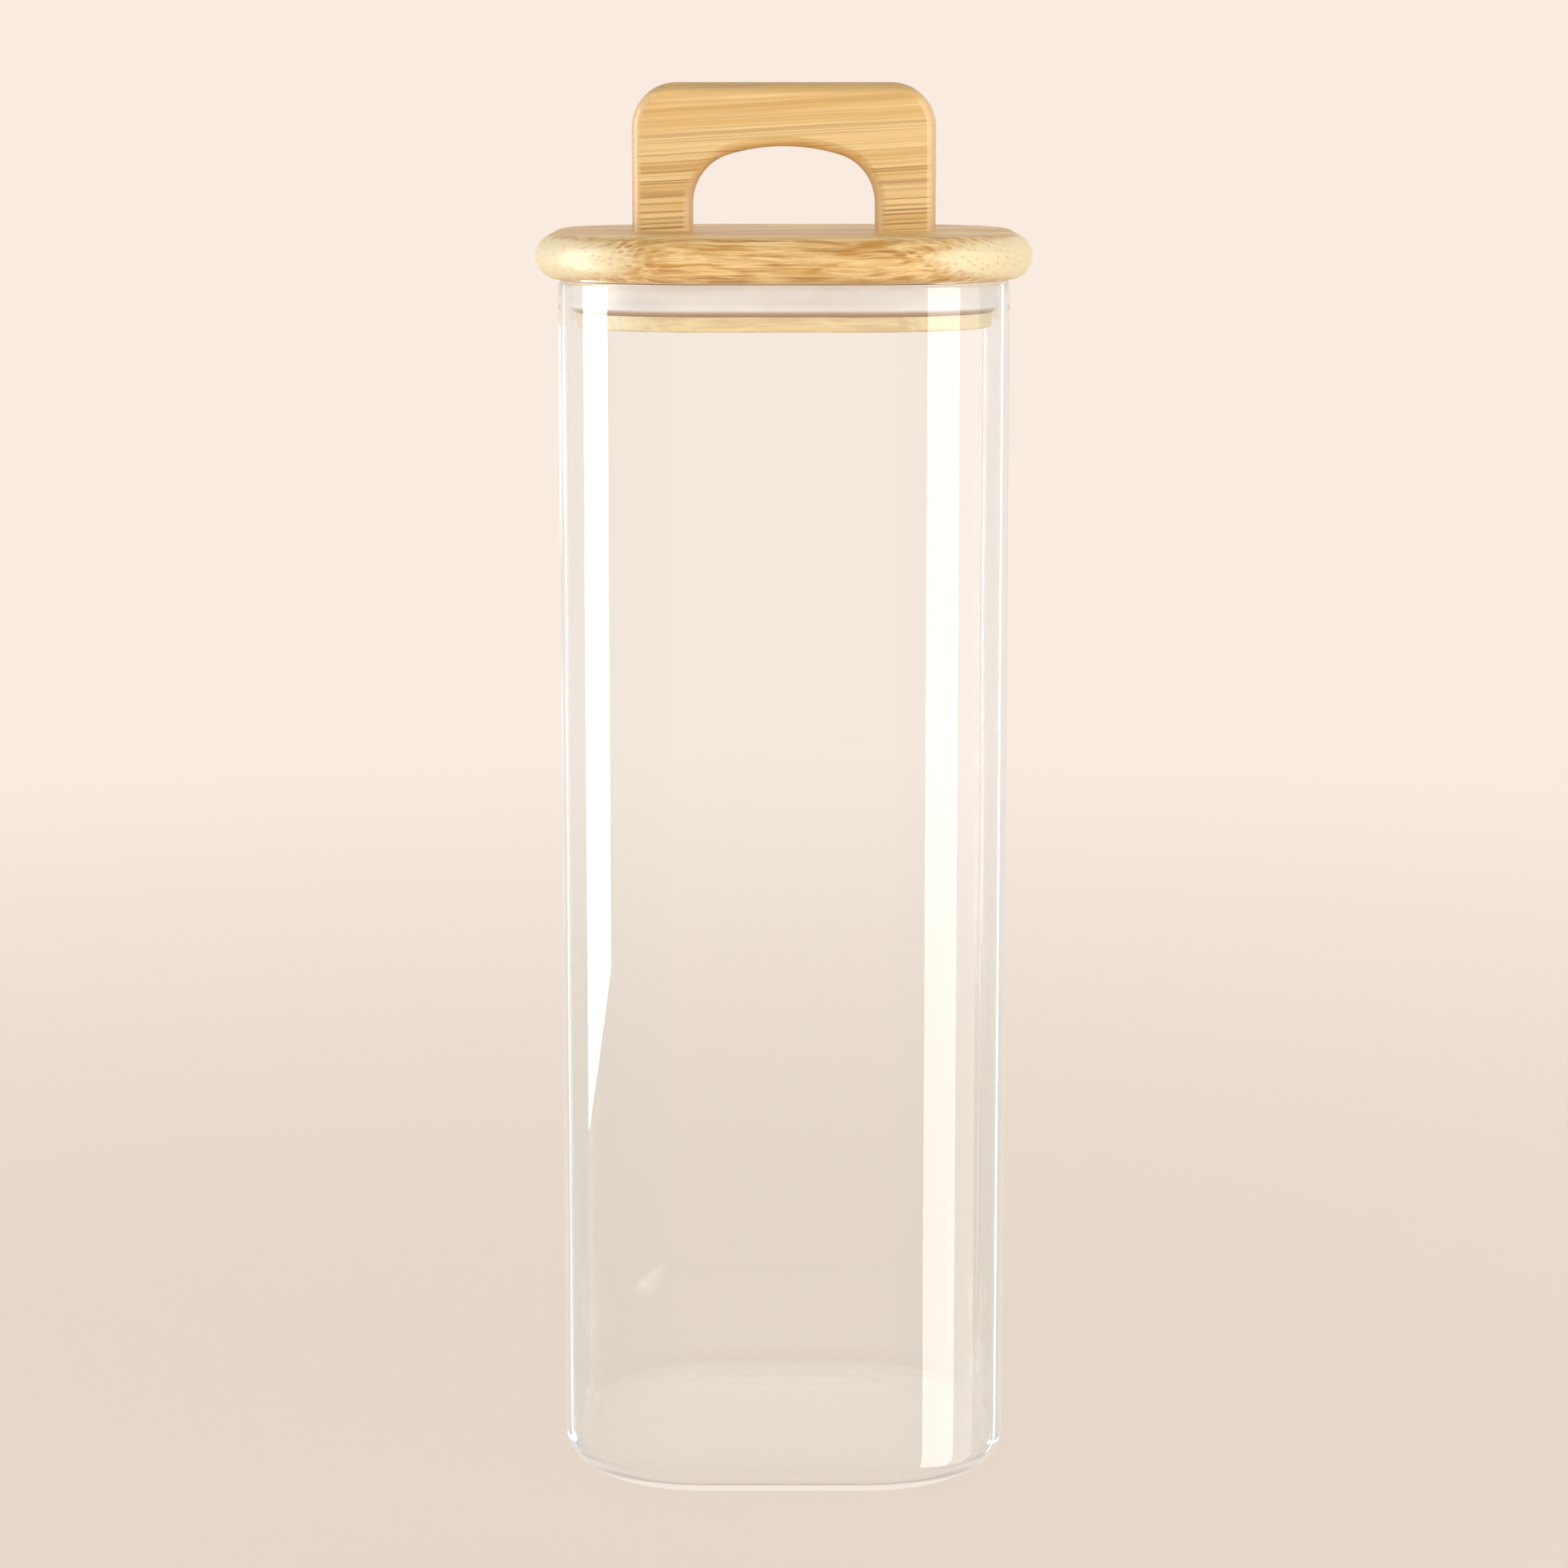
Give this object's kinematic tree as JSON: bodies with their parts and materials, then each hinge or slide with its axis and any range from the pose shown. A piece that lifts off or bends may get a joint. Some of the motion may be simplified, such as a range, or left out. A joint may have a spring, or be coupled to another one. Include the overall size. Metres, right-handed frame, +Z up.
{
  "type": "lidded glass canister",
  "caption": "Tall rounded-square clear glass storage jar with a plug-in bamboo lid, soft seal ring and upright arched bamboo handle.",
  "frame": {"origin": "centre of the jar's underside, on the surface it stands on", "axes": "+Z up along the jar, X along the handle's width, -Y towards the front"},
  "size_m": [0.11, 0.11, 0.3132],
  "materials": {
    "clear_glass": "clear, smooth blown glass with a fire-polished rim",
    "lid_bamboo": "laminated bamboo, sanded and lightly oiled, satin",
    "silicone": "translucent whitish silicone, soft satin",
    "handle_bamboo": "solid bamboo with long grain across its width, sanded and lightly oiled, satin",
    "screw_steel": "plain zinc-plated steel"
  },
  "bodies": {
    "jar": {"glass_jar": "clear_glass"},
    "lid": {"lid": "lid_bamboo", "silicone_seal": "silicone", "handle": "handle_bamboo", "handle_screws": "screw_steel"}
  },
  "joints": [
    {"name": "lid_lift", "type": "slide", "parent": "jar", "child": "lid", "axis": [0, 0, 1], "range_m": [0, 0.08]}
  ]
}
